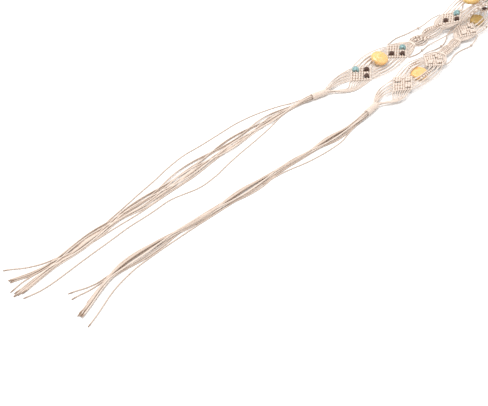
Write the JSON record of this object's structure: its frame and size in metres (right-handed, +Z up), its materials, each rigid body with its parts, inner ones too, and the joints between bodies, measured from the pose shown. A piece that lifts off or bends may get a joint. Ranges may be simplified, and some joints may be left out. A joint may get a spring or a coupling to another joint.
{
  "type": "knotted cord belt with beads",
  "caption": "Long knotted cord belt with drilled beads, round amber discs and fringed ends, folded once and lying on a surface.",
  "frame": {"origin": "middle of the folded belt's bounding box, on the surface it lies on", "axes": "+Z up; the folded belt runs along X with the fringes at -X and the fold at +X; the half lying face up is on the +Y side"},
  "size_m": [0.8656, 0.1446, 0.039],
  "materials": {
    "belt_cord": "matt waxed cotton cord, loosely twisted",
    "amber": "polished cloudy honey-coloured resin",
    "turquoise_bead": "tumbled, slightly glossy",
    "dark_bead": "polished dark brown"
  },
  "bodies": {
    "root": {"amber_1": "amber", "amber_2": "amber", "amber_3": "amber", "amber_4": "amber", "amber_cords_1": "belt_cord", "amber_cords_2": "belt_cord", "amber_cords_3": "belt_cord", "amber_cords_4": "belt_cord", "dark_bead_1_2": "dark_bead", "dark_bead_1_3": "dark_bead", "dark_bead_2_1": "dark_bead", "dark_bead_2_2": "dark_bead", "dark_bead_3_1": "dark_bead", "dark_bead_3_2": "dark_bead", "dark_bead_4_1": "dark_bead", "dark_bead_4_3": "dark_bead", "dark_bead_5_1": "dark_bead", "dark_bead_5_2": "dark_bead", "dark_bead_6_1": "dark_bead", "dark_bead_6_2": "dark_bead", "dark_bead_7_2": "dark_bead", "dark_bead_7_3": "dark_bead", "diamond_1": "belt_cord", "diamond_2": "belt_cord", "diamond_3": "belt_cord", "diamond_4": "belt_cord", "diamond_5": "belt_cord", "diamond_6": "belt_cord", "diamond_7": "belt_cord", "fan_far": "belt_cord", "fan_near": "belt_cord", "fringe_far": "belt_cord", "fringe_near": "belt_cord", "leaf_1": "belt_cord", "leaf_2": "belt_cord", "leaf_3": "belt_cord", "leaf_4": "belt_cord", "side_strand_1": "belt_cord", "side_strand_2": "belt_cord", "side_strand_3": "belt_cord", "side_strand_4": "belt_cord", "turquoise_bead_1_1": "turquoise_bead", "turquoise_bead_2_3": "turquoise_bead", "turquoise_bead_3_3": "turquoise_bead", "turquoise_bead_4_2": "turquoise_bead", "turquoise_bead_5_3": "turquoise_bead", "turquoise_bead_6_3": "turquoise_bead", "turquoise_bead_7_1": "turquoise_bead", "wrap_far": "belt_cord", "wrap_near": "belt_cord"}
  },
  "joints": []
}
